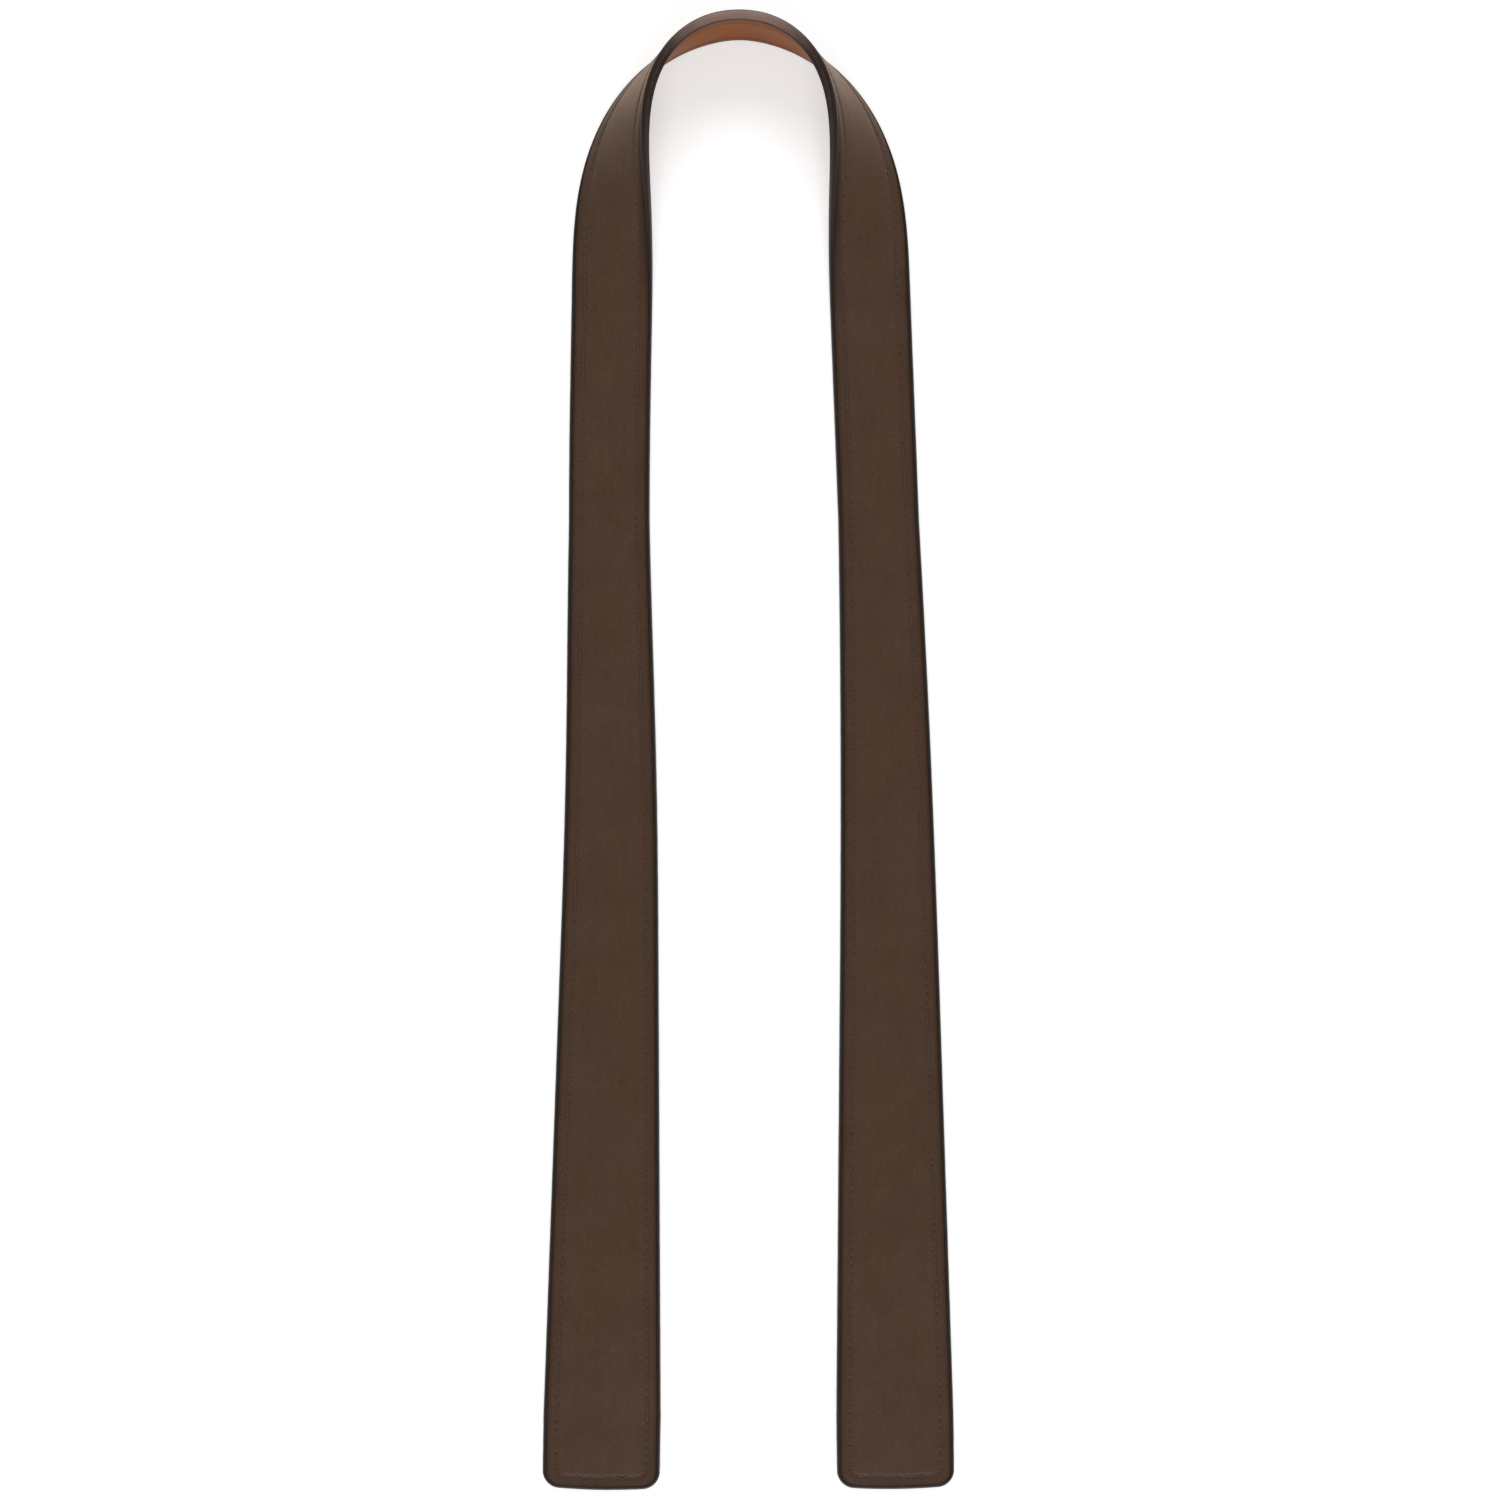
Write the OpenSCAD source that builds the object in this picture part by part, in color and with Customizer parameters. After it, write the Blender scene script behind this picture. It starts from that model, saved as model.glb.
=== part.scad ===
// Guitar strap: one long stitched leather band laid on a table and doubled back,
// so that its two ends lie side by side. The legs lie flat with the outer leather
// up. Through the turn the band stands on its outer edge, lining side inwards.
// Each layer is drawn in the band's own flat measures and then laid:
//   s  along the band: 0 at the top of the turn, negative on the left leg
//   v  across the band: positive towards the edge that is inside the turn
//   h  through the band: 0 at mid thickness, positive towards the outer leather

/* [Band] */
// Length of the band laid out straight, end to end
band_len = 1295; // [1275:1:1315]
// Finished width of the band along its middle
band_w = 34.5; // [32:0.5:38]
// Finished width of the two end tabs
tab_w = 50; // [46:0.5:54]
// Length of each end tab, before it starts to narrow
tab_len = 32; // [24:2:38]
// Length over which each end narrows to the width of the middle
taper_len = 380; // [360:5:400]
// Corner radius of the end tabs
corner_r = 7; // [5:0.5:9]
// Radius of the slight outward curve of each end
end_curve_r = 260; // [200:20:400]

/* [Layers] */
// Thickness of the outer leather
outer_t = 1.6; // [1.2:0.1:1.8]
// Thickness of the bonded board between the two leathers
core_t = 1.1; // [0.8:0.1:1.4]
// Thickness of the lining leather
lining_t = 1.6; // [1.2:0.1:1.8]
// Thickness of each of the two glue lines
glue_t = 0.05; // [0.04:0.01:0.1]
// How far the edge paint stands out from the cut edge
paint_t = 0.7; // [0.5:0.1:0.9]

/* [Stitching] */
// Distance of the stitch line from the finished edge
stitch_inset = 5.7; // [5:0.1:6.5]
// Width of the thread
thread_w = 0.8; // [0.6:0.1:1]
// Width of the valley that the stitches pull into the leather
valley_w = 1.8; // [1.6:0.1:2.2]
// Depth of that valley
valley_depth = 0.6; // [0.5:0.05:0.7]
// Corner radius of the stitch line at the end tabs
stitch_corner_r = 3; // [2:0.5:4]

/* [Lay] */
// Band length from the top of the turn to where a leg runs straight
turn_len = 136; // [130:1:145]
// Lean of the band at the top of the turn, 90 is bolt upright
turn_lean = 90; // [86:0.5:90]
// Band length from the top of the turn at which the lean starts to fall
lean_start = 7; // [2:1:12]
// Band length from the top of the turn at which the band lies flat
lean_end = 149; // [144:1:158]
// Outward splay of the right leg as it leaves the turn
right_splay = 2.2; // [1.5:0.1:3]
// Splay that the right leg loses along its length
right_ease = 1.5; // [1:0.1:2.5]
// Outward splay of the left leg as it leaves the turn
left_splay = 1; // [0.5:0.1:1.5]
// Splay that the left leg loses just below the turn
left_ease = 1.6; // [1:0.1:2]
// Splay that the left leg takes up again towards its end
left_flare = 1.5; // [1:0.1:1.8]

/* [Hidden] */

half_len = band_len / 2;
band_t = outer_t + core_t + lining_t + 2 * glue_t;

// Height of each layer's faces through the band
face_h = band_t / 2;
core_top_h = face_h - outer_t - glue_t;
core_bottom_h = lining_t + glue_t - face_h;

// Clearance of the paint from the cut edge, and of each thread from its valley
skin_gap = 0.02;

// Half width of the straight middle of each end, and the angle between points round a corner
end_flat = 5;
corner_step = 22.5;

// Goes smoothly from 0 to 1 as u goes from 0 to 1
function ease(u) = let (c = min(max(u, 0), 1)) c * c * (3 - 2 * c);

// ---- Flat outline of the band ----

// Half width of the band at distance e from its end, past the rounded corners
function side_half(e) = band_w / 2 + (tab_w - band_w) / 2 * (1 - min(max((e - tab_len) / taper_len, 0), 1));

// Distances from an end at which the long edges are drawn: taper, straight leg, turn
taper_steps = 8;
turn_steps = 26;
long_stations = concat(
    [for (k = [0:taper_steps]) tab_len + k * taper_len / taper_steps],
    [(tab_len + taper_len + half_len - lean_end) / 2],
    [for (k = [0:turn_steps]) half_len - lean_end + k * lean_end / turn_steps]
);

// Half of the outline moved in by d: [distance from the end, half width] up to the turn's top
function half_ring(d) = let (
    r = max(corner_r - d, stitch_corner_r),
    v = tab_w / 2 - d - r,
    big_r = end_curve_r - d,
    e = d + big_r - sqrt(pow(big_r - r, 2) - pow(v, 2)),
    meet_v = v * big_r / (big_r - r),
    meet_e = d + big_r - sqrt(pow(big_r, 2) - pow(meet_v, 2))
) concat(
    [[d, end_flat], [meet_e, meet_v]],
    [for (a = [corner_step:corner_step:90]) [e - r * cos(a), v + r * sin(a)]],
    [for (x = long_stations) [x, side_half(x) - d]]
);

// Whole outline moved in by d, as a closed loop of [s, v]: along one edge and back down the other
function ring(d) = let (
    half = half_ring(d),
    left = [for (p = half) [p[0] - half_len, p[1]]],
    right = [for (i = [len(half) - 2:-1:0]) [half_len - half[i][0], half[i][1]]],
    edge = concat(left, right)
) concat(edge, [for (i = [len(edge) - 1:-1:0]) [edge[i][0], -edge[i][1]]]);

ring_n = len(ring(0));

// ---- The way the band lies ----

// Where along each leg its splay changes, and over what length, from the top of the turn
splay_run = 120;
right_ease_from = 185;
right_ease_run = 270;
left_ease_from = 160;
left_ease_run = 130;
left_flare_from = 290;
left_flare_run = 130;

// Outward splay of each leg at distance d from the top of the turn
function right_out(d) = right_splay * ease(d / splay_run)
    - right_ease * ease((d - right_ease_from) / right_ease_run);
function left_out(d) = left_splay * ease(d / splay_run)
    - left_ease * ease((d - left_ease_from) / left_ease_run)
    + left_flare * ease((d - left_flare_from) / left_flare_run);

// Angle turned at distance d from the top, and the heading at s, clockwise from +X
function turned(d) = let (u = min(d / turn_len, 1)) 90 * (u + sin(180 * u) / PI);
function heading(s) = s < 0 ? left_out(-s) - turned(-s) : turned(s) - right_out(s);

// Lean of the band's width: 0 lies flat, 90 stands upright
function lean(s) = turn_lean * (1 - ease((abs(s) - lean_start) / (lean_end - lean_start)));

// Centre line in plan, walked from the top of the turn in short steps, as [distance, value].
// It goes a little past the end of the band, because an outward curve needs room there.
walk = 2;
walk_spare = 20;
walk_n = ceil((half_len + walk_spare) / walk);
function walk_x(side) = [
    for (i = 0, x = 0; i <= walk_n; x = x + side * walk * cos(heading(side * (i + 0.5) * walk)), i = i + 1)
        [i * walk, x]
];
function walk_y(side) = [
    for (i = 0, y = 0; i <= walk_n; y = y - side * walk * sin(heading(side * (i + 0.5) * walk)), i = i + 1)
        [i * walk, y]
];
right_x = walk_x(1);
right_y = walk_y(1);
left_x = walk_x(-1);
left_y = walk_y(-1);
function centre_x(s) = s < 0 ? lookup(-s, left_x) : lookup(s, right_x);
function centre_y(s) = s < 0 ? lookup(-s, left_y) : lookup(s, right_y);

// Point of the laid band at p = [s, v] and height h, measured from the top of the turn
function lay(p, h) = let (
    a = heading(p[0]),
    t = lean(p[0]),
    inwards = p[1] * cos(t) - h * sin(t)
) [
    centre_x(p[0]) - inwards * sin(a),
    centre_y(p[0]) - inwards * cos(a),
    (side_half(half_len - abs(p[0])) + p[1]) * sin(t) + (face_h + h) * cos(t)
];

// Shift that brings the middle of the laid band's box over the origin
edge_points = [for (h = [-face_h, 0, face_h]) for (p = ring(0)) lay(p, h)];
mid_x = (min([for (q = edge_points) q[0]]) + max([for (q = edge_points) q[0]])) / 2;
mid_y = (min([for (q = edge_points) q[1]]) + max([for (q = edge_points) q[1]])) / 2;

// Closed loop of points in space at inset d and height h
function loop(d, h) = [for (p = ring(d)) lay(p, h) - [mid_x, mid_y, 0]];

// ---- Solids ----

// Two triangles between neighbouring points i and j of loops a and b
function wall(a, b, i, j) = [
    [a * ring_n + i, a * ring_n + j, b * ring_n + j],
    [a * ring_n + i, b * ring_n + j, b * ring_n + i]
];

// Strip of triangles round the whole of loops a and b
function band_wall(a, b) = [for (i = [0:ring_n - 1]) each wall(a, b, i, (i + 1) % ring_n)];

// Face across loop a, rung by rung; up is true for the side where h is highest
function across(a, up) = [
    for (i = [0:ring_n / 2 - 2])
        let (p = a * ring_n + i, q = a * ring_n + ring_n - 1 - i)
            each up ? [[p, p + 1, q - 1], [p, q - 1, q]] : [[p, q - 1, p + 1], [p, q, q - 1]]
];

// Plate bounded by a stack of loops, the first and the last filled across
module plate(loops) {
    last = len(loops) - 1;
    sides = [for (k = [0:last - 1]) each band_wall(k, k + 1)];
    fills = concat(across(0, false), across(last, true));
    polyhedron(points = [for (l = loops) each l], faces = concat(sides, fills));
}

// Closed bead that runs round the band, bounded by loops taken in turn
module bead(loops) {
    n = len(loops);
    sides = [for (k = [0:n - 1]) each band_wall(k, (k + 1) % n)];
    polyhedron(points = [for (l = loops) each l], faces = sides);
}

// Loops of the stitch valley in the face at height h, from the edge inwards; side is 1 up, -1 down
function valley(h, side) = [
    loop(stitch_inset - valley_w / 2, h),
    loop(stitch_inset, h - side * valley_depth),
    loop(stitch_inset + valley_w / 2, h)
];

// Depth of the valley's wall at the side of the thread
thread_side = valley_depth * (1 - thread_w / valley_w);

// Thread lying in the valley of the face at height h; side is 1 up, -1 down
module thread(h, side) {
    bead([
        loop(stitch_inset, h - side * (valley_depth - skin_gap)),
        loop(stitch_inset - side * thread_w / 2, h - side * (thread_side - skin_gap)),
        loop(stitch_inset, h - side * skin_gap),
        loop(stitch_inset + side * thread_w / 2, h - side * (thread_side - skin_gap))
    ]);
}

// Outer leather: the smooth top skin, with the valley that its stitches pull in
module outer_leather() {
    color("#4e3d30")
    plate(concat([loop(paint_t, face_h - outer_t), loop(paint_t, face_h)], valley(face_h, 1)));
}

// Core board: bonded leather that gives the band its body, a shade paler at the edge
module core_board() {
    color("#8c6b52")
    plate([loop(paint_t, core_bottom_h), loop(paint_t, core_top_h)]);
}

// Lining leather: the tan skin worn against the shoulder
module lining_leather() {
    v = valley(-face_h, -1);
    color("#7b4933")
    plate([v[2], v[1], v[0], loop(paint_t, -face_h), loop(paint_t, lining_t - face_h)]);
}

// Section of the edge paint: how far below each face its shoulder and its flat front begin
shoulder_drop = 0.35;
front_drop = 1.2;

// Edge paint: one continuous rounded coat over the cut edges of all three layers, drawn from the
// lining's face round to the outer face
module edge_paint() {
    inner_d = paint_t - skin_gap;
    shoulder_d = paint_t / 2;
    shoulder_h = face_h - shoulder_drop;
    flat_h = face_h - front_drop;
    color("#2e231c")
    bead([
        loop(inner_d, -face_h),
        loop(shoulder_d, -shoulder_h),
        loop(0, -flat_h),
        loop(0, flat_h),
        loop(shoulder_d, shoulder_h),
        loop(inner_d, face_h)
    ]);
}

// Needle thread: the stitch line on the outer leather
module needle_thread() {
    color("#5a3d33")
    thread(face_h, 1);
}

// Bobbin thread: the stitch line on the lining
module bobbin_thread() {
    color("#5a3d33")
    thread(-face_h, -1);
}

outer_leather();
core_board();
lining_leather();
edge_paint();
needle_thread();
bobbin_thread();
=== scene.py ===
"""Stitched leather guitar strap, laid doubled back on a pale table and seen from straight above.

Every piece is drawn in the band's own flat measures, in metres, and then laid:
  s  along the band: 0 at the top of the turn, negative on the left leg
  v  across the band: positive towards the edge that is inside the turn
  h  through the band: 0 at mid thickness, positive towards the outer leather
"""

import math

import bpy
import numpy as np
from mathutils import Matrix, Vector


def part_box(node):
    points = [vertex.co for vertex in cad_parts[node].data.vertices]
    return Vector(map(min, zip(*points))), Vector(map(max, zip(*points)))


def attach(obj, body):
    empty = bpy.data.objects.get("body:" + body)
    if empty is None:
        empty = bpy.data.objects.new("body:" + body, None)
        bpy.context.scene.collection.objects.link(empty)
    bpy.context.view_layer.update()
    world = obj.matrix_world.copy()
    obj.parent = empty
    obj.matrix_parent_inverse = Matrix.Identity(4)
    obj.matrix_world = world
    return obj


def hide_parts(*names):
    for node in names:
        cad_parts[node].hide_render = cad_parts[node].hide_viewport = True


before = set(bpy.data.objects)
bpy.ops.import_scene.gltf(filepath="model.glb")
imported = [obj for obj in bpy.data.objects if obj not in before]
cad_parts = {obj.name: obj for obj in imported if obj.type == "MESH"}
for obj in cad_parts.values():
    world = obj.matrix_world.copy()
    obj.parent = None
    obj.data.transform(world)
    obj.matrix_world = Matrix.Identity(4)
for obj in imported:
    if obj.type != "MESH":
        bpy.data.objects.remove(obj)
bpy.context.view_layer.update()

MM = 0.001

# ---- The band, as the CAD model draws it ----

HALF_LEN = 647.5 * MM
BAND_W = 34.5 * MM
TAB_W = 50 * MM
TAB_LEN = 32 * MM
TAPER_LEN = 380 * MM
CORNER_R = 7 * MM
END_CURVE_R = 260 * MM

OUTER_T = 1.6 * MM
CORE_T = 1.1 * MM
LINING_T = 1.6 * MM
GLUE_T = 0.05 * MM
PAINT_T = 0.7 * MM
FACE_H = (OUTER_T + CORE_T + LINING_T + 2 * GLUE_T) / 2

STITCH_INSET = 5.7 * MM
STITCH_CORNER_R = 3 * MM

# ---- The way it lies: lengths from the top of the turn, angles in degrees ----

TURN_LEN = 136 * MM
TURN_LEAN = 90
LEAN_START = 7 * MM
LEAN_END = 149 * MM
RIGHT_SPLAY = 2.2
RIGHT_EASE = 1.5
LEFT_SPLAY = 1.0
LEFT_EASE = 1.6
LEFT_FLARE = 1.5

# Where along each leg its splay changes, and over what length
SPLAY_RUN = 120 * MM
RIGHT_EASE_FROM, RIGHT_EASE_RUN = 185 * MM, 270 * MM
LEFT_EASE_FROM, LEFT_EASE_RUN = 160 * MM, 130 * MM
LEFT_FLARE_FROM, LEFT_FLARE_RUN = 290 * MM, 130 * MM

# Step of the walk along the centre line, and how far the walk goes past the band's end
WALK_STEP = 0.5 * MM
WALK_SPARE = 20 * MM

# Points along the band for measuring its box
BOX_SAMPLES = 2641

# ---- Shape of the leather: how deep each feature is, and how far it reaches ----

ROLL_DROP, ROLL_REACH = 0.30 * MM, 0.55 * MM
VALLEY_DROP, VALLEY_REACH = 0.24 * MM, 0.75 * MM
HOLE_DROP, HOLE_REACH = 0.20 * MM, 0.55 * MM

# Needle holes are looked for this far along the band, and one that isn't found counts as this far off
HOLE_SEARCH, NO_HOLE = 3 * MM, 1.0

# Swell of the padded middle and of the border outside the stitches, as shares of the full swell
CROWN_REACH = 4.5 * MM
BORDER_SHARE, BORDER_OUT, BORDER_REACH = 0.4, 2.6 * MM, 1.3 * MM
WAVE_SHARE, WAVE_LENGTHS = 0.3, (0.041, 0.067, 0.113)
OUTER_SWELL = 0.16 * MM

# The curve of each end fades out over this length
END_CURVE_FADE = 25 * MM

# ---- Shape of the edge paint ----

# Its lap over each face: how far in from the cut edge, and how far below the face it ends
PAINT_LAP, PAINT_LAP_DROP = 0.95 * MM, 0.10 * MM

# Its dome starts on each face this far in from the cut edge, and the powers make it a little squarer
PAINT_SHOULDER = 0.45 * MM
DOME_POINTS = 27
DOME_OUT_POWER, DOME_UP_POWER = 0.85, 0.9

# Its dip at each glue line, and its straight back just inside the cut edge
GLUE_DIP, GLUE_DIP_REACH = 0.07 * MM, 0.16 * MM
PAINT_BACK_IN, PAINT_BACK_DROP = 0.02 * MM, 0.25 * MM

# How much it stands out more or less along its length, as a share
RIPPLE_SHARE, RIPPLE_LENGTHS, RIPPLE_SEED = 0.05, (0.009, 0.017, 0.031), 5

# ---- Shape of the stitches ----

# The CAD model has one wider bead where these are separate stitches
STITCH_PITCH = 3.5 * MM
THREAD_W = 0.70 * MM
THREAD_T = 0.45 * MM
STITCH_DEPTH = 0.30 * MM
STITCH_SLANT = 0.10 * MM
SLANT_SPREAD = 0.35
STITCH_SEED = 11
STITCH_SIDES = 8
STITCH_MAP_STEP = 4.1 * MM

# Rings of one stitch: place along it, share of full thickness, and height over its seat
RING_PLACES = np.array([0.03, 0.12, 0.27, 0.5, 0.73, 0.88, 0.97])
RING_SWELLS = np.array([0.62, 0.86, 0.98, 1.0, 0.98, 0.86, 0.62])
RING_RISES = MM * np.array([-0.36, -0.14, 0.0, 0.04, 0.0, -0.14, -0.36])

# ---- Colours, linear ----

OUTER_BROWN = (0.084, 0.047, 0.029)
OUTER_WARM = (0.092, 0.045, 0.026)
LINING_TAN = (0.262, 0.086, 0.019)
LINING_WARM = (0.250, 0.062, 0.018)
PAINT_DARK = (0.022, 0.013, 0.009)
# Middle of the edge paint: worn paint over the board, and partly a painted highlight
PAINT_MIDDLE = (0.048, 0.027, 0.018)
# Painted highlight on the edge paint at the top of the turn
PAINT_TOP_HIGHLIGHT = (0.265, 0.165, 0.132)
THREAD_BROWN = (0.078, 0.036, 0.024)
BOARD_BROWN = (0.16, 0.10, 0.065)
SHEEN_TINT = (1.0, 0.53, 0.20)
TABLE_GREYS = (0.88, 0.90)

# ---- Set: camera straight down over the strap, table, lamps and sky ----

CAMERA_AT = (0.0007, 0.0042, 1.168)
FRAME_WIDTH = 0.6405
SENSOR_MM = 36

TABLE_HALF = 6.0
TABLE_DROP = 0.02 * MM
TABLE_GLOW = 0.46

# Place, size and power of each soft box
LAMPS = {
    "lamp_near": ((0.0, -2.2, 1.45), (1.5, 1.1), 37.0),
    "lamp_far": ((0.0, 1.9, 1.45), (1.8, 1.0), 27.0),
}

# The sky's strength low down and high up, and where the change is, as the z of a unit direction
SKY_FROM_Z, SKY_TO_Z = 0.15, 0.55
SKY_LOW_STRENGTH, SKY_HIGH_STRENGTH = 1.15, 0.28


# ---- Laying the flat band ----


def ease(u):
    """Goes smoothly from 0 to 1 as u goes from 0 to 1."""
    c = np.clip(u, 0, 1)
    return c * c * (3 - 2 * c)


def side_half(e):
    """Half width of the band at distance e from its end, past the rounded corners."""
    return BAND_W / 2 + (TAB_W - BAND_W) / 2 * (1 - np.clip((e - TAB_LEN) / TAPER_LEN, 0, 1))


def right_out(d):
    """Outward splay of the right leg, in degrees, at distance d from the top of the turn."""
    return RIGHT_SPLAY * ease(d / SPLAY_RUN) - RIGHT_EASE * ease((d - RIGHT_EASE_FROM) / RIGHT_EASE_RUN)


def left_out(d):
    """The same for the left leg."""
    return (
        LEFT_SPLAY * ease(d / SPLAY_RUN)
        - LEFT_EASE * ease((d - LEFT_EASE_FROM) / LEFT_EASE_RUN)
        + LEFT_FLARE * ease((d - LEFT_FLARE_FROM) / LEFT_FLARE_RUN)
    )


def heading(s):
    """Direction of the centre line at s, in radians clockwise from +X."""
    d = np.abs(s)
    u = np.minimum(d / TURN_LEN, 1)
    turned = 90 * (u + np.sin(np.pi * u) / np.pi)
    return np.radians(np.where(s < 0, left_out(d) - turned, turned - right_out(d)))


def lean(s):
    """Lean of the band's width at s, in radians: 0 lies flat."""
    return np.radians(TURN_LEAN * (1 - ease((np.abs(s) - LEAN_START) / (LEAN_END - LEAN_START))))


def walk_leg(side):
    """Distances from the top of the turn, and the centre line's x and y there, for one side."""
    count = math.ceil((HALF_LEN + WALK_SPARE) / WALK_STEP)
    a = heading(side * (np.arange(count) + 0.5) * WALK_STEP)
    x = np.concatenate([[0], np.cumsum(side * WALK_STEP * np.cos(a))])
    y = np.concatenate([[0], np.cumsum(-side * WALK_STEP * np.sin(a))])
    return np.arange(count + 1) * WALK_STEP, x, y


LEGS = {-1: walk_leg(-1), 1: walk_leg(1)}


def centre(s):
    """The centre line's x and y at s."""
    d = np.abs(s)
    left, right = LEGS[-1], LEGS[1]
    x = np.where(s < 0, np.interp(d, left[0], left[1]), np.interp(d, right[0], right[1]))
    y = np.where(s < 0, np.interp(d, left[0], left[2]), np.interp(d, right[0], right[2]))
    return x, y


def lay_raw(s, v, h):
    """Laid points, measured from the top of the turn."""
    a, t = heading(s), lean(s)
    x, y = centre(s)
    inwards = v * np.cos(t) - h * np.sin(t)
    z = (side_half(HALF_LEN - np.abs(s)) + v) * np.sin(t) + (FACE_H + h) * np.cos(t)
    return np.stack([x - inwards * np.sin(a), y - inwards * np.cos(a), z], -1)


def frame_shift():
    """What brings the laid band over the CAD model's own box."""
    s = np.linspace(-HALF_LEN, HALF_LEN, BOX_SAMPLES)
    half = side_half(HALF_LEN - np.abs(s))
    edges = np.concatenate([lay_raw(s, k * half, h) for k in (-1, 1) for h in (-FACE_H, 0, FACE_H)])
    low, high = (np.array(c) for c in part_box("edge_paint"))
    shift = (low + high) / 2 - (edges.min(0) + edges.max(0)) / 2
    return np.array([shift[0], shift[1], 0])


SHIFT = frame_shift()


def lay(s, v, h):
    """Laid points, in the shared frame."""
    return lay_raw(s, v, h) + SHIFT


# ---- Rows and columns of the flat band ----

# Distances in from an edge: close together at the rolled edge, and again across the stitch valley
END_ROWS = MM * np.array(
    [0, 0.15, 0.4, 0.75, 1.2, 1.8, 2.5, 3.3, 4.0, 4.4, 4.7, 5.0, 5.3, 5.6, 6.0, 6.6, 7.4, 8.4, 9.6]
)
EDGE_COLUMNS = MM * np.array(
    [0, 0.15, 0.4, 0.8, 1.4, 2.2, 3.1, 3.9, 4.35, 4.7, 5.0, 5.3, 5.65, 6.1, 6.9, 8.2, 10.5]
)
MIDDLE_COLUMNS = 5

# Rows between the ends keep step with the needle holes, and start and stop this many steps inside them
ROWS_PER_STITCH = 4
CLEAR_STEPS = 3

# Points across an end of the edge coat, and across the plain board
END_POINTS = 12
BOARD_COLUMNS = 5


def stitch_run():
    """Places of the needle holes along one long side: they set the rows as well."""
    reach = HALF_LEN - STITCH_INSET - STITCH_CORNER_R
    count = 2 * round(reach / STITCH_PITCH)
    return np.linspace(-reach, reach, count + 1)


RUN = stitch_run()


def row_ends(inset):
    """Rows of a piece whose edge is inset, from left to right.

    Gives each row's side, -1 or 1, and its distance from the end on that side.
    """
    near = inset + END_ROWS
    step = (RUN[1] - RUN[0]) / ROWS_PER_STITCH
    # Half a step less at the far end, so that rounding never loses the last row
    along = np.arange(RUN[0] + CLEAR_STEPS * step, RUN[-1] - (CLEAR_STEPS - 0.5) * step, step)
    side = np.concatenate([-np.ones(len(near)), np.where(along < 0, -1, 1), np.ones(len(near))])
    e = np.concatenate([near, HALF_LEN - np.abs(along), near[::-1]])
    return side, e


def thinned_rows(inset, every, end_len):
    """The same rows, with only one in every so many kept beyond end_len from an end."""
    side, e = row_ends(inset)
    keep = (np.arange(len(e)) % every == 0) | (e < end_len)
    return side[keep], e[keep]


def half_width(e, inset):
    """Half width at distance e from the end of the outline moved in by inset, corners included."""
    r = CORNER_R - inset
    into = np.clip(e - inset, 0, r)
    return side_half(e) - inset - r + np.sqrt(r * r - (r - into) ** 2)


def bowed(side, e, v):
    """Band length s of a point at distance e from an end whose edge curves outwards."""
    fade = 1 - ease(e / END_CURVE_FADE)
    return side * (HALF_LEN - e - v * v / (2 * END_CURVE_R) * fade)


def corner_distance(dx, dy, r):
    """Distance inside a corner of radius r, from the distances inside its two edges."""
    round_part = r - np.hypot(r - dx, r - dy)
    return np.where((dx < r) & (dy < r), round_part, np.minimum(dx, dy))


def needle_holes():
    """Flat places [s, v] of the needle holes, once round the band from the left end."""
    gap = RUN[1] - RUN[0]
    half = side_half(HALF_LEN - np.abs(RUN)) - STITCH_INSET
    side_v = TAB_W / 2 - STITCH_INSET
    bend = STITCH_CORNER_R * (1 - math.sqrt(0.5))
    across = side_v - STITCH_CORNER_R
    end_v = np.linspace(across, -across, round(2 * across / gap) + 1)

    def end(side, vs):
        return [(float(bowed(side, STITCH_INSET, v)), float(v)) for v in vs]

    def corner(side, k):
        v = k * (side_v - bend)
        return [(float(bowed(side, STITCH_INSET + bend, v)), float(v))]

    loop = [(s, v) for s, v in zip(RUN, half)]
    loop += corner(1, 1) + end(1, end_v) + corner(1, -1)
    loop += [(s, -v) for s, v in zip(RUN[::-1], half[::-1])]
    loop += corner(-1, -1) + end(-1, -end_v) + corner(-1, 1)
    return np.array(loop, float)


HOLES = needle_holes()


def hole_distance(s, v):
    """Distance from each flat point to the nearest needle hole, or NO_HOLE in a row clear of them."""
    order = np.argsort(HOLES[:, 0])
    sorted_s = HOLES[order, 0]
    out = np.full(s.shape, NO_HOLE)
    for k in range(len(s)):
        low, high = s[k].min() - HOLE_SEARCH, s[k].max() + HOLE_SEARCH
        near = HOLES[order[np.searchsorted(sorted_s, low) : np.searchsorted(sorted_s, high)]]
        if len(near):
            gaps = np.hypot(s[k][:, None] - near[:, 0], v[k][:, None] - near[:, 1])
            out[k] = gaps.min(1)
    return out


# ---- Meshes ----


def mesh_object(name, points, faces, flat, marks, sharp=None):
    """A smooth-shaded object from points, faces, flat places for its map, and named distances.

    The distances are stored in millimetres. Edges that turn more than sharp degrees are shaded sharp.
    """
    mesh = bpy.data.meshes.new(name)
    mesh.from_pydata(points.tolist(), [], faces)
    mesh.polygons.foreach_set("use_smooth", np.ones(len(mesh.polygons), bool))
    corners = np.empty(len(mesh.loops), np.int32)
    mesh.loops.foreach_get("vertex_index", corners)
    layer = mesh.uv_layers.new(name="flat")
    layer.data.foreach_set("uv", flat[corners].astype(np.float32).ravel())
    for mark, values in marks.items():
        made = mesh.attributes.new(mark, "FLOAT", "POINT")
        made.data.foreach_set("value", (values / MM).astype(np.float32))
    if sharp:
        mesh.set_sharp_from_angle(angle=math.radians(sharp))
    mesh.update()
    obj = bpy.data.objects.new(name, mesh)
    bpy.context.scene.collection.objects.link(obj)
    return obj


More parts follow.
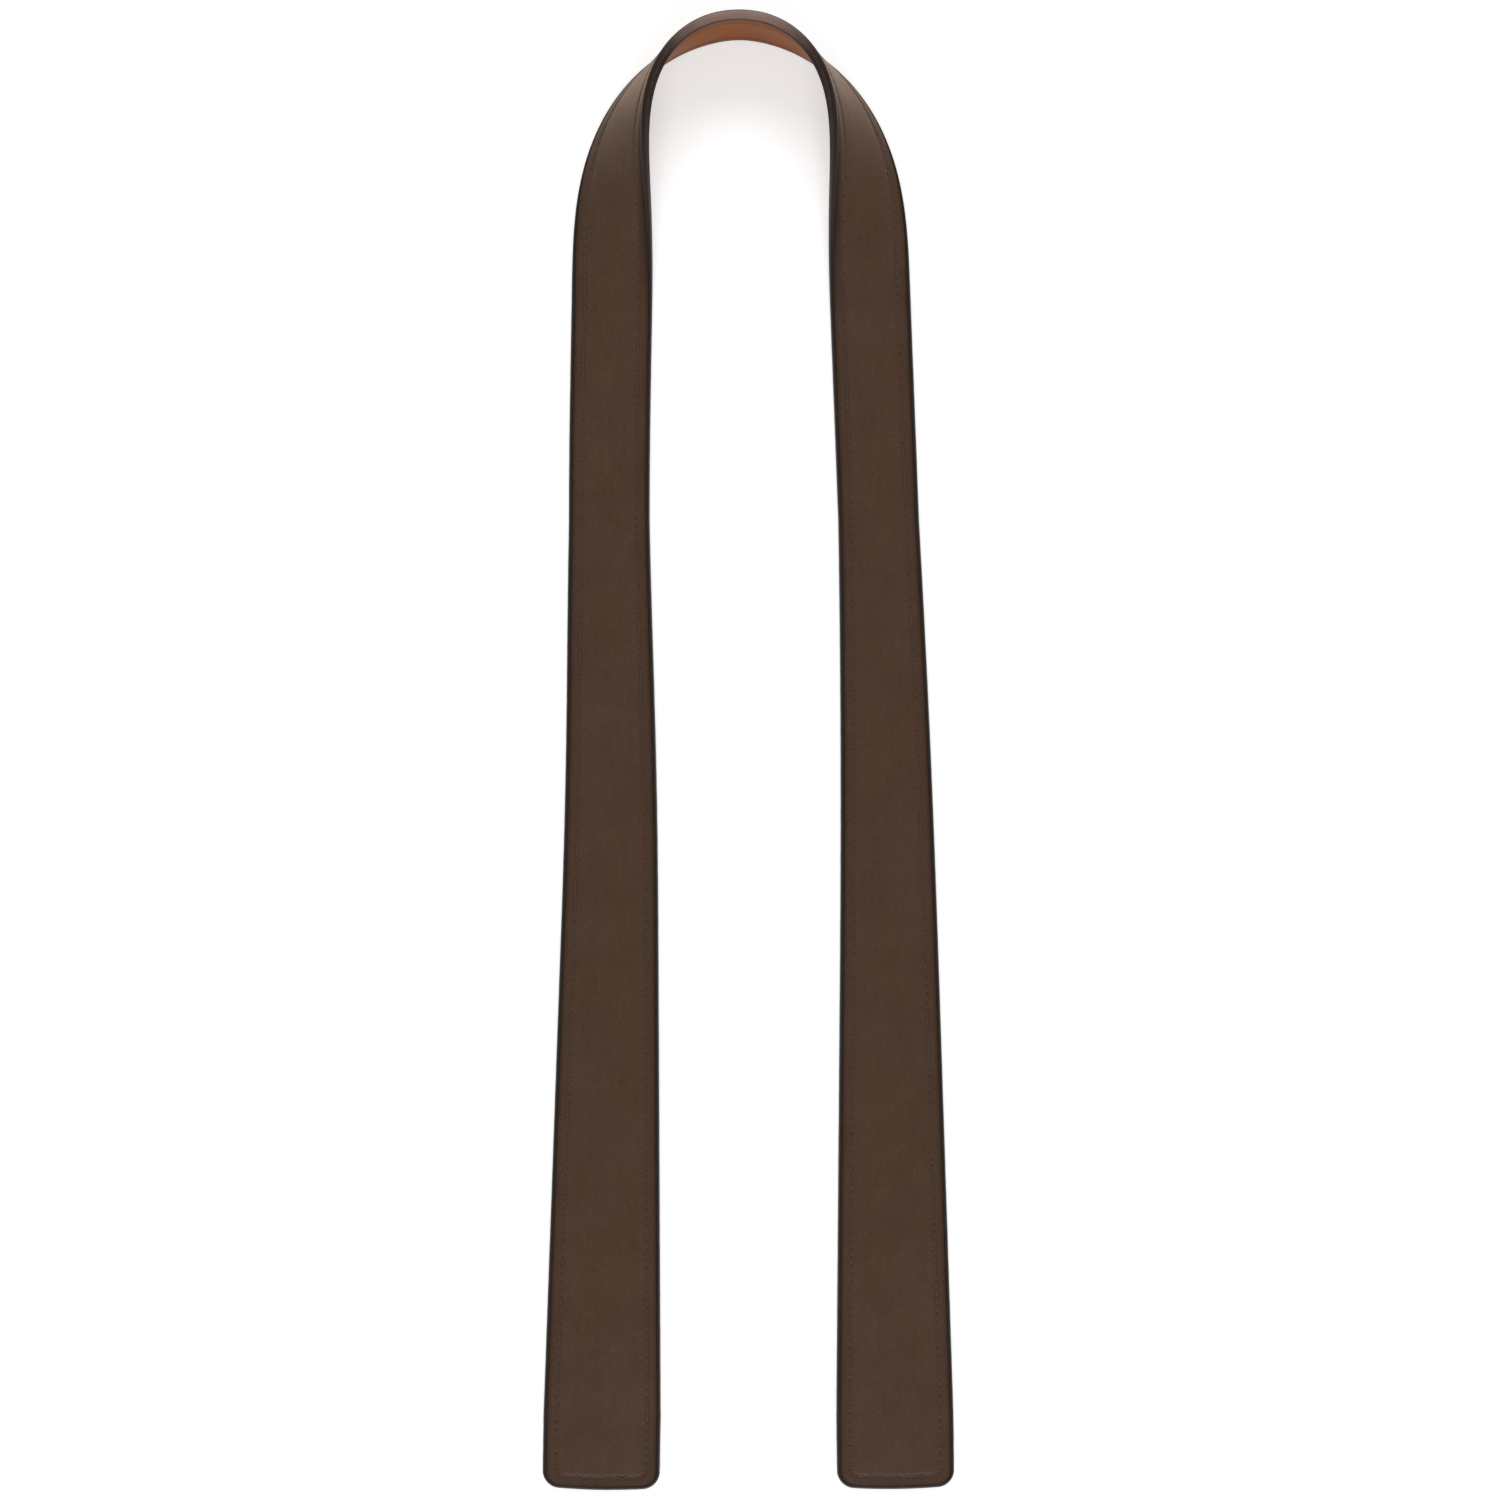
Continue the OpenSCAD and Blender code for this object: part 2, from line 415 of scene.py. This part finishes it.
def grid_faces(rows, columns, start=0, flip=False):
    """Four-sided faces of a grid of points, whose first point is number start."""
    i, j = np.meshgrid(np.arange(rows - 1), np.arange(columns - 1), indexing="ij")
    a = start + i * columns + j
    quads = np.stack([a, a + 1, a + columns + 1, a + columns], -1).reshape(-1, 4)
    return (quads[:, ::-1] if flip else quads).tolist()


def soft_noise(s, v, lengths, seed):
    """Gentle undulation of about -1 to 1: a few crossed waves of the given lengths, in metres."""
    rng = np.random.default_rng(seed)
    total = np.zeros(s.shape)
    for length in lengths:
        across = length * rng.uniform(0.5, 1.2)
        phase = rng.uniform(0, 2 * math.pi, 2)
        along_wave = np.sin(2 * math.pi * s / length + phase[0])
        across_wave = np.cos(2 * math.pi * v / across + phase[1])
        total += along_wave * across_wave
    return total / len(lengths)


def bump_of(distance, reach):
    """1 at no distance, and near 0 beyond about twice the reach."""
    return np.exp(-((distance / reach) ** 2))


def relief(v, edge, seam, hole, s, swell, seed):
    """Height of a leather face over its plain level: rolled edge, stitch valley, needle holes, swell."""
    roll = -ROLL_DROP * np.exp(-edge / ROLL_REACH)
    valley = -VALLEY_DROP * bump_of(seam, VALLEY_REACH)
    pinch = -HOLE_DROP * bump_of(hole, HOLE_REACH)
    crown = 1 - bump_of(np.maximum(seam, 0), CROWN_REACH)
    border = BORDER_SHARE * bump_of(seam + BORDER_OUT, BORDER_REACH)
    waves = WAVE_SHARE * soft_noise(s, v, WAVE_LENGTHS, seed)
    return roll + valley + pinch + swell * (crown + border + waves - 1)


def leather_skin(name, plain_h, hidden_h, swell, seed):
    """One leather: a shaped face round plain_h, closed by a plain back at hidden_h."""
    side, e = row_ends(PAINT_T)
    half = half_width(e, PAINT_T)
    outer = half[:, None] - EDGE_COLUMNS
    inner = outer[:, -1:] * np.linspace(1, -1, MIDDLE_COLUMNS + 2)[1:-1]
    v = np.concatenate([outer, inner, -outer[:, ::-1]], 1)
    e2 = np.repeat(e[:, None], v.shape[1], 1)
    s = bowed(side[:, None], e2, v)
    in_from_side = side_half(e2) - np.abs(v)
    edge = corner_distance(e2, in_from_side, CORNER_R) - PAINT_T
    seam = corner_distance(e2 - STITCH_INSET, in_from_side - STITCH_INSET, STITCH_CORNER_R)
    hole = hole_distance(s, v)
    up = 1 if plain_h > hidden_h else -1
    h = plain_h + up * relief(v, edge, seam, hole, s, swell, seed)
    rows, columns = v.shape
    face = lay(s, v, h).reshape(-1, 3)
    # The back needs points only along its two long edges
    rim = [0, columns - 1]
    back = lay(s[:, rim], v[:, rim], np.full((rows, 2), hidden_h)).reshape(-1, 3)
    base = rows * columns
    flip = up > 0
    faces = grid_faces(rows, columns, flip=not flip) + grid_faces(rows, 2, start=base, flip=flip)
    for i in range(rows - 1):
        a, b, c, d = i * columns, (i + 1) * columns, base + 2 * i, base + 2 * i + 2
        p, q, r, t = a + columns - 1, b + columns - 1, c + 1, d + 1
        faces += [[a, b, d, c], [p, r, t, q]] if not flip else [[a, c, d, b], [p, q, t, r]]
    first = list(range(columns)) + [base + 1, base]
    last_row = (rows - 1) * columns
    last = list(range(last_row, last_row + columns)) + [base + 2 * rows - 1, base + 2 * rows - 2]
    faces += [first if flip else first[::-1], last[::-1] if flip else last]
    flat = np.stack([s, v], -1).reshape(-1, 2)
    flat = np.concatenate([flat, np.stack([s[:, rim], v[:, rim]], -1).reshape(-1, 2)])
    # On the back, everything counts as edge and nothing as seam
    at_edge = np.zeros(2 * rows)
    far_off = np.full(2 * rows, 9 * MM)
    marks = {
        "edge_mm": np.concatenate([edge.ravel(), at_edge]),
        "seam_mm": np.concatenate([np.abs(seam).ravel(), far_off]),
        "hole_mm": np.concatenate([hole.ravel(), far_off]),
    }
    return mesh_object(name, np.concatenate([face, back]), faces, flat, marks, sharp=50)


def perimeter(inset):
    """Outline moved in by inset as a closed loop of flat points, with the outward direction at each."""
    side, e = thinned_rows(inset, every=2, end_len=12 * MM)
    v = half_width(e, inset)
    s = bowed(side, e, v)
    end_v = np.linspace(v[0], -v[0], END_POINTS)[1:-1]
    left_end = bowed(-1, inset, end_v)
    right_end = bowed(1, inset, end_v)
    loop_s = np.concatenate([s, right_end, s[::-1], left_end[::-1]])
    loop_v = np.concatenate([v, end_v, -v[::-1], end_v[::-1]])
    ds = np.roll(loop_s, -1) - np.roll(loop_s, 1)
    dv = np.roll(loop_v, -1) - np.roll(loop_v, 1)
    size = np.hypot(ds, dv)
    return loop_s, loop_v, -dv / size, ds / size


def paint_profile():
    """Section of the edge coat as [outwards, height] from the cut edge.

    It is a dome that laps on to both faces and dips at each glue line, closed by a straight back.
    """
    lap_h = FACE_H - PAINT_LAP_DROP
    back_h = FACE_H - PAINT_BACK_DROP
    section = [(-PAINT_LAP, -lap_h)]
    for a in np.linspace(-90, 90, DOME_POINTS):
        c, q = math.cos(math.radians(a)), math.sin(math.radians(a))
        out = (PAINT_T + PAINT_SHOULDER) * c**DOME_OUT_POWER - PAINT_SHOULDER
        height = FACE_H * math.copysign(abs(q) ** DOME_UP_POWER, q)
        for glue in (-CORE_T / 2, CORE_T / 2):
            out -= GLUE_DIP * math.exp(-(((height - glue) / GLUE_DIP_REACH) ** 2))
        section.append((out, height))
    section += [(-PAINT_LAP, lap_h), (-PAINT_BACK_IN, back_h), (-PAINT_BACK_IN, -back_h)]
    return np.array(section)


def edge_coat(name):
    """The painted edge: a rounded bead all the way round the band."""
    s, v, out_s, out_v = perimeter(PAINT_T)
    section = paint_profile()
    ripple = 1 + RIPPLE_SHARE * soft_noise(s, v, RIPPLE_LENGTHS, RIPPLE_SEED)
    out = section[None, :, 0] * np.where(section[None, :, 0] > 0, ripple[:, None], 1)
    flat_s = s[:, None] + out * out_s[:, None]
    flat_v = v[:, None] + out * out_v[:, None]
    h = np.repeat(section[None, :, 1], len(s), 0)
    points = lay(flat_s, flat_v, h).reshape(-1, 3)
    n, m = h.shape
    i, j = np.meshgrid(np.arange(n), np.arange(m), indexing="ij")
    a, b = i * m + j, i * m + (j + 1) % m
    c, d = ((i + 1) % n) * m + (j + 1) % m, ((i + 1) % n) * m + j
    faces = np.stack([a, b, c, d], -1).reshape(-1, 4).tolist()
    along = np.cumsum(np.hypot(s - np.roll(s, 1), v - np.roll(v, 1)))
    flat = np.stack([np.repeat(along[:, None], m, 1), h], -1).reshape(-1, 2)
    marks = {"layer_mm": np.abs(h).ravel(), "turn_mm": np.abs(flat_s).ravel()}
    return mesh_object(name, points, faces, flat, marks)


def core_layer(name):
    """The board between the two leathers."""
    side, e = thinned_rows(PAINT_T, every=4, end_len=10 * MM)
    half = half_width(e, PAINT_T)
    v = half[:, None] * np.linspace(1, -1, BOARD_COLUMNS)
    e2 = np.repeat(e[:, None], BOARD_COLUMNS, 1)
    s = bowed(side[:, None], e2, v)
    rows, columns = v.shape
    base = rows * columns
    low = -FACE_H + LINING_T + GLUE_T
    points = [lay(s, v, np.full(v.shape, h)).reshape(-1, 3) for h in (low + CORE_T, low)]
    faces = grid_faces(rows, columns) + grid_faces(rows, columns, start=base, flip=True)
    rim = [i * columns for i in range(rows)]
    rim += list(range((rows - 1) * columns + 1, rows * columns))
    rim += [i * columns + columns - 1 for i in range(rows - 2, -1, -1)]
    rim += list(range(columns - 2, 0, -1))
    for a, b in zip(rim, rim[1:] + rim[:1]):
        faces.append([b, a, base + a, base + b])
    flat = np.stack([s, v], -1).reshape(-1, 2)
    return mesh_object(name, np.concatenate(points), faces, np.concatenate([flat, flat]), {}, sharp=50)


def stitches(name, plain_h, slant):
    """Separate stitches from hole to hole, each a short length of thread that dives in at both ends."""
    up = 1 if plain_h > 0 else -1
    start, stop = HOLES, np.roll(HOLES, -1, 0)
    run = stop - start
    length = np.hypot(run[:, 0], run[:, 1])
    along = run / length[:, None]
    across = np.stack([-along[:, 1], along[:, 0]], -1)
    rng = np.random.default_rng(STITCH_SEED)
    sway = slant * (1 + SLANT_SPREAD * rng.standard_normal(len(run)))
    turn = np.linspace(0, 2 * math.pi, STITCH_SIDES + 1)[:-1]
    # Each stitch slants: sway is how far its two ends stray to either side of the seam
    middle = start[:, None] + run[:, None] * RING_PLACES[None, :, None]
    middle = middle + across[:, None] * ((0.5 - RING_PLACES) * 2)[None, :, None] * sway[:, None, None]
    side = (THREAD_W / 2) * RING_SWELLS[:, None] * np.cos(turn)
    lift = (THREAD_T / 2) * RING_SWELLS[:, None] * np.sin(turn)
    flat = middle[:, :, None] + across[:, None, None] * side[None, :, :, None]
    seat = plain_h - up * STITCH_DEPTH
    h = seat + up * (RING_RISES[:, None] + lift)
    h = np.repeat(h[None], len(run), 0)
    points = lay(flat[..., 0], flat[..., 1], h).reshape(-1, 3)
    per, m = len(RING_PLACES) * len(turn), len(turn)
    i, j = np.meshgrid(np.arange(len(RING_PLACES) - 1), np.arange(m), indexing="ij")
    a, b = i * m + j, i * m + (j + 1) % m
    quads = np.stack([a, b, b + m, a + m], -1).reshape(-1, 4)
    if up < 0:
        quads = quads[:, ::-1]
    starts = np.arange(len(run)) * per
    faces = (starts[:, None, None] + quads[None]).reshape(-1, 4).tolist()
    cap = list(range(m))
    for k in starts.tolist():
        first, last = [k + c for c in cap], [k + per - m + c for c in cap]
        faces += [first[::-1], last] if up > 0 else [first, last[::-1]]
    # The map runs along each stitch and round it, and each stitch shows another stretch of the thread
    thread_start = np.arange(len(run))[:, None, None] * STITCH_MAP_STEP
    place = np.repeat((RING_PLACES[None] * length[:, None])[:, :, None], m, 2) + thread_start
    round_place = np.broadcast_to(turn * THREAD_W / 2, place.shape)
    mapped = np.stack([place, round_place], -1).reshape(-1, 2)
    return mesh_object(name, points, faces, mapped, {})


# ---- Materials ----


class Paint:
    """A material's nodes: add() makes one and sets its inputs, a link or a plain value each."""

    def __init__(self, name):
        self.material = bpy.data.materials.new(name)
        self.material.use_nodes = True
        self.tree = self.material.node_tree
        self.tree.nodes.clear()

    def add(self, kind, inputs=None, **settings):
        node = self.tree.nodes.new(kind)
        for key, value in settings.items():
            setattr(node, key, value)
        for key, value in (inputs or {}).items():
            self.feed(node.inputs[key], value)
        return node

    def feed(self, socket, value):
        if isinstance(value, bpy.types.NodeSocket):
            self.tree.links.new(value, socket)
        else:
            socket.default_value = value

    def maths(self, operation, a, b=0.0):
        return self.add("ShaderNodeMath", {0: a, 1: b}, operation=operation).outputs[0]

    def remap(self, value, low, high, to_low, to_high):
        """Goes smoothly from to_low to to_high as value goes from low to high."""
        inputs = {"Value": value, "From Min": low, "From Max": high, "To Min": to_low, "To Max": to_high}
        return self.add("ShaderNodeMapRange", inputs, interpolation_type="SMOOTHSTEP").outputs["Result"]

    def spread(self, noise, to_low, to_high):
        """The middle of a noise's range, spread from to_low to to_high."""
        return self.remap(noise, 0.3, 0.7, to_low, to_high)

    def noise(self, where, scale, detail=3.0, roughness=0.5):
        inputs = {"Vector": where, "Scale": scale, "Detail": detail, "Roughness": roughness}
        return self.add("ShaderNodeTexNoise", inputs).outputs["Fac"]

    def blend(self, factor, a, b, mode="MIX"):
        node = self.tree.nodes.new("ShaderNodeMix")
        node.data_type, node.blend_type = "RGBA", mode
        # A Mix node's colour inputs are its seventh and eighth
        for number, value in ((0, factor), (6, a), (7, b)):
            self.feed(node.inputs[number], value)
        return node.outputs[2]

    def mark(self, name):
        return self.add("ShaderNodeAttribute", attribute_name=name).outputs["Fac"]

    def flat_map(self, scale):
        """The band's flat map times scale, so 1000 gives millimetres."""
        uv = self.add("ShaderNodeUVMap", uv_map="flat").outputs["UV"]
        return self.add("ShaderNodeMapping", {"Vector": uv, "Scale": scale}).outputs["Vector"]

    def flat_mm(self):
        return self.flat_map((1000, 1000, 1000))

    def bump(self, height, strength, distance, **settings):
        inputs = {"Height": height, "Strength": strength, "Distance": distance}
        return self.add("ShaderNodeBump", inputs, **settings).outputs["Normal"]

    def finish(self, inputs):
        shader = self.add("ShaderNodeBsdfPrincipled", inputs)
        out = self.tree.nodes.new("ShaderNodeOutputMaterial")
        self.tree.links.new(shader.outputs[0], out.inputs["Surface"])
        return self.material


def solid(colour):
    return colour + (1.0,)


def shade(colour, factor):
    return solid(tuple(c * factor for c in colour))


def curled_edge_shade(p, flat, curl_shade):
    """Painted shade, by the share curl_shade, on the inner border where the band climbs and curls into
    the turn.

    The distances are millimetres: along the band from the top of the turn, and across it.
    """
    place = p.add("ShaderNodeSeparateXYZ", {0: flat})
    from_top = p.maths("ABSOLUTE", place.outputs["X"])
    climb_starts = p.remap(from_top, 42, 72, 0.0, 1.0)
    climb_ends = p.remap(from_top, 112, 150, 1.0, 0.0)
    climb = p.maths("MULTIPLY", climb_starts, climb_ends)
    border = p.remap(place.outputs["Y"], 10.5, 16.0, 0.0, curl_shade)
    return p.maths("SUBTRACT", 1.0, p.maths("MULTIPLY", climb, border))


def leather(name, colour, warm, rough, grain_depth, specular, sheen, curl_shade):
    """Finished leather: mottled dye, warmer patches, pebbled grain and a burnished edge. It is darker
    towards the edge, as dye and as painted shade on the rolled edge, with painted shade in the grain's
    creases, the stitch valley, round each needle hole and on the curled inner border.
    """
    p = Paint(name)
    flat = p.flat_mm()
    streaked = p.flat_map((55, 420, 1))

    # Dye: mottled and streaked along the band, with broad warmer clouds
    mottle = p.noise(flat, 0.055, 5.0, 0.6)
    cloud = p.noise(flat, 0.017, 2.0)
    streak = p.noise(streaked, 1.0, 3.0)
    tone = p.maths("ADD", p.spread(mottle, -0.09, 0.09), p.spread(streak, -0.06, 0.06))
    tone = p.maths("ADD", tone, 0.5)
    dyed = p.blend(tone, shade(colour, 0.72), shade(colour, 1.28))
    dyed = p.blend(p.remap(cloud, 0.42, 0.68, 0.0, 0.55), dyed, solid(warm))

    # Grain: pebbles just under a millimetre wide, with finer pores, and painted shade in the creases
    cells = p.add("ShaderNodeTexVoronoi", {"Vector": flat, "Scale": 1.15, "Randomness": 0.95})
    pebble = p.remap(cells.outputs["Distance"], 0.05, 0.65, 0.0, 1.0)
    fine = p.noise(flat, 3.4, 4.0, 0.6)
    grain = p.maths("ADD", p.maths("MULTIPLY", pebble, 0.65), p.maths("MULTIPLY", fine, 0.35))
    crease_shade = p.remap(grain, 0.62, 0.9, 1.0, 0.86)
    dyed = p.blend(1.0, dyed, crease_shade, "MULTIPLY")

    # Darker over the last millimetres, as dye and as painted shade on the rolled edge; painted shade in
    # the stitch valley and round each needle hole
    edge = p.mark("edge_mm")
    rim = p.maths("MULTIPLY", p.remap(edge, 0.25, 2.5, 0.55, 1.0), p.remap(edge, 0.5, 5.5, 0.80, 1.0))
    seam = p.remap(p.mark("seam_mm"), 0.1, 1.15, 0.90, 1.0)
    hole_shade = p.remap(p.mark("hole_mm"), 0.15, 0.75, 0.78, 1.0)
    shadow = p.maths("MULTIPLY", p.maths("MULTIPLY", rim, seam), hole_shade)
    # Painted shade on the curled inner border as the band climbs into the turn
    shadow = p.maths("MULTIPLY", shadow, curled_edge_shade(p, flat, curl_shade))
    dyed = p.blend(1.0, dyed, shadow, "MULTIPLY")

    # Roughness: a little uneven, and smoother where the edge is burnished
    uneven = p.spread(mottle, rough - 0.05, rough + 0.06)
    polish = p.maths("ADD", uneven, p.remap(rim, 0.44, 1.0, -0.06, 0.0))
    return p.finish(
        {
            "Base Color": dyed,
            "Roughness": polish,
            "Normal": p.bump(grain, 0.55, grain_depth, invert=True),
            "Specular IOR Level": specular,
            "Sheen Weight": sheen,
            "Sheen Roughness": 0.35,
            "Sheen Tint": solid(SHEEN_TINT),
        }
    )


def edge_paint_finish(name, dark, middle, painted_highlight):
    """Edge paint: semi-gloss, with fine drag lines. It is paler over the board, as worn paint and as a
    painted highlight along its crown, and has a painted highlight near the top of the turn.
    """
    p = Paint(name)
    flat = p.flat_mm()
    drag = p.noise(p.flat_map((140, 3200, 1)), 1.0, 3.0)
    patch = p.noise(flat, 0.16, 3.0)
    layer = p.remap(p.mark("layer_mm"), 0.35, 0.75, 1.0, 0.0)
    # Paler across the middle of the thickness, over the board: worn paint, and a painted highlight along
    # the crown of the bead
    worn_and_highlit = p.maths("MULTIPLY", layer, p.remap(patch, 0.3, 0.65, 0.45, 1.0))
    colour = p.blend(worn_and_highlit, solid(dark), solid(middle))
    # Painted highlight across the edge near the top of the turn, clear of its corners
    near_top = p.remap(p.mark("turn_mm"), 8.0, 40.0, 1.0, 0.0)
    off_corners = p.remap(p.mark("layer_mm"), 1.3, 2.1, 1.0, 0.0)
    colour = p.blend(p.maths("MULTIPLY", near_top, off_corners), colour, solid(painted_highlight))
    colour = p.blend(1.0, colour, p.spread(drag, 0.8, 1.12), "MULTIPLY")
    return p.finish(
        {
            "Base Color": colour,
            "Roughness": p.maths("ADD", p.spread(patch, 0.36, 0.46), p.maths("MULTIPLY", worn_and_highlit, 0.08)),
            "Normal": p.bump(drag, 0.35, 0.05 * MM),
            "Specular IOR Level": 0.32,
        }
    )


def thread_finish(name, colour):
    """Waxed twisted thread: slanting plies along its length."""
    p = Paint(name)
    flat = p.flat_mm()
    wave = {"Vector": flat, "Scale": 0.5, "Distortion": 0.4, "Detail": 1.0}
    plies = p.add("ShaderNodeTexWave", wave, bands_direction="DIAGONAL").outputs["Fac"]
    fuzz = p.noise(flat, 6.0, 3.0)
    dyed = p.blend(plies, shade(colour, 0.65), shade(colour, 1.3))
    dyed = p.blend(1.0, dyed, p.spread(fuzz, 0.85, 1.1), "MULTIPLY")
    normal = p.bump(plies, 0.6, 0.08 * MM)
    return p.finish({"Base Color": dyed, "Roughness": p.spread(fuzz, 0.5, 0.62), "Normal": normal})


def board_finish(name, colour):
    """Bonded leather board: matt, with short pressed fibres."""
    p = Paint(name)
    fibres = p.noise(p.flat_map((500, 2400, 1)), 1.0, 4.0, 0.65)
    clumps = p.noise(p.flat_mm(), 0.3, 3.0)
    tone = p.maths("MULTIPLY", p.maths("ADD", fibres, clumps), 0.5)
    dyed = p.blend(tone, shade(colour, 0.6), shade(colour, 1.4))
    normal = p.bump(fibres, 0.4, 0.08 * MM)
    return p.finish({"Base Color": dyed, "Roughness": p.spread(clumps, 0.75, 0.9), "Normal": normal})


# ---- Table, lamps, sky and camera ----


def table():
    """Pale table, white to the camera, that still takes the strap's shadow."""
    signs = ((-1, -1), (1, -1), (1, 1), (-1, 1))
    corners = [(x * TABLE_HALF, y * TABLE_HALF, -TABLE_DROP) for x, y in signs]
    mesh = bpy.data.meshes.new("table")
    mesh.from_pydata(corners, [], [(0, 1, 2, 3)])
    top = bpy.data.objects.new("table", mesh)
    bpy.context.scene.collection.objects.link(top)
    p = Paint("table_white")
    rays = p.add("ShaderNodeLightPath")
    seen = p.maths("MAXIMUM", rays.outputs["Is Camera Ray"], rays.outputs["Is Glossy Ray"])
    seen = p.maths("MAXIMUM", seen, rays.outputs["Is Transmission Ray"])
    where = p.add("ShaderNodeTexCoord").outputs["Object"]
    speck = p.spread(p.noise(where, 9.0, 3.0), 0.0, 1.0)
    greys = [(grey, grey, grey, 1.0) for grey in TABLE_GREYS]
    mesh.materials.append(
        p.finish(
            {
                "Base Color": p.blend(speck, greys[0], greys[1]),
                "Roughness": 0.9,
                "Specular IOR Level": 0.0,
                "Emission Color": (1, 1, 1, 1),
                "Emission Strength": p.maths("MULTIPLY", seen, TABLE_GLOW),
            }
        )
    )


def lamp(name, place, size, power):
    """A soft box that faces the middle of the strap."""
    data = bpy.data.lights.new(name, "AREA")
    data.shape, data.size, data.size_y = "RECTANGLE", size[0], size[1]
    data.energy = power
    made = bpy.data.objects.new(name, data)
    made.location = place
    made.rotation_euler = made.location.to_track_quat("Z", "Y").to_euler()
    bpy.context.scene.collection.objects.link(made)


def sky():
    """Sky that is bright at the horizon and dim overhead."""
    world = bpy.data.worlds.new("studio")
    bpy.context.scene.world = world
    world.use_nodes = True
    tree = world.node_tree
    tree.nodes.clear()
    where = tree.nodes.new("ShaderNodeTexCoord")
    split = tree.nodes.new("ShaderNodeSeparateXYZ")
    ramp = tree.nodes.new("ShaderNodeMapRange")
    light = tree.nodes.new("ShaderNodeBackground")
    out = tree.nodes.new("ShaderNodeOutputWorld")
    ramp.interpolation_type = "SMOOTHSTEP"
    ramp.inputs["From Min"].default_value = SKY_FROM_Z
    ramp.inputs["From Max"].default_value = SKY_TO_Z
    ramp.inputs["To Min"].default_value = SKY_LOW_STRENGTH
    ramp.inputs["To Max"].default_value = SKY_HIGH_STRENGTH
    tree.links.new(where.outputs["Generated"], split.inputs[0])
    tree.links.new(split.outputs["Z"], ramp.inputs["Value"])
    tree.links.new(ramp.outputs["Result"], light.inputs["Strength"])
    tree.links.new(light.outputs[0], out.inputs["Surface"])


def camera():
    """Camera straight down, whose picture is FRAME_WIDTH wide at the table."""
    data = bpy.data.cameras.new("camera")
    data.sensor_width = SENSOR_MM
    data.lens = SENSOR_MM * CAMERA_AT[2] / FRAME_WIDTH
    made = bpy.data.objects.new("camera", data)
    made.location = CAMERA_AT
    bpy.context.scene.collection.objects.link(made)
    bpy.context.scene.camera = made


# ---- The strap ----


def dress(piece, material, node):
    """Gives a piece its material, lets it stand for its CAD node, and fixes it to the strap."""
    piece.data.materials.append(material)
    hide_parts(node)
    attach(piece, "root")
    return piece


camera()
table()
for lamp_name, settings in LAMPS.items():
    lamp(lamp_name, *settings)
sky()
bpy.context.scene.view_settings.view_transform = "Standard"

outer = dress(
    leather_skin("outer_leather_skin", FACE_H, FACE_H - OUTER_T, swell=OUTER_SWELL, seed=2),
    leather(
        "brown_leather",
        OUTER_BROWN,
        OUTER_WARM,
        rough=0.43,
        grain_depth=0.09 * MM,
        specular=0.16,
        sheen=0.39,
        curl_shade=0.5,
    ),
    "outer_leather",
)
lining = dress(
    leather_skin("lining_leather_skin", -FACE_H, LINING_T - FACE_H, swell=0.0, seed=3),
    leather(
        "tan_leather",
        LINING_TAN,
        LINING_WARM,
        rough=0.52,
        grain_depth=0.10 * MM,
        specular=0.06,
        sheen=0.0,
        curl_shade=0.0,
    ),
    "lining_leather",
)
core = dress(
    core_layer("core_board_layer"),
    board_finish("bonded_board", BOARD_BROWN),
    "core_board",
)
dress(
    edge_coat("edge_paint_coat"),
    edge_paint_finish("edge_paint", PAINT_DARK, PAINT_MIDDLE, PAINT_TOP_HIGHLIGHT),
    "edge_paint",
)
thread = thread_finish("waxed_thread", THREAD_BROWN)
needle = dress(stitches("needle_stitches", FACE_H, STITCH_SLANT), thread, "needle_thread")
bobbin = dress(stitches("bobbin_stitches", -FACE_H, -STITCH_SLANT), thread, "bobbin_thread")
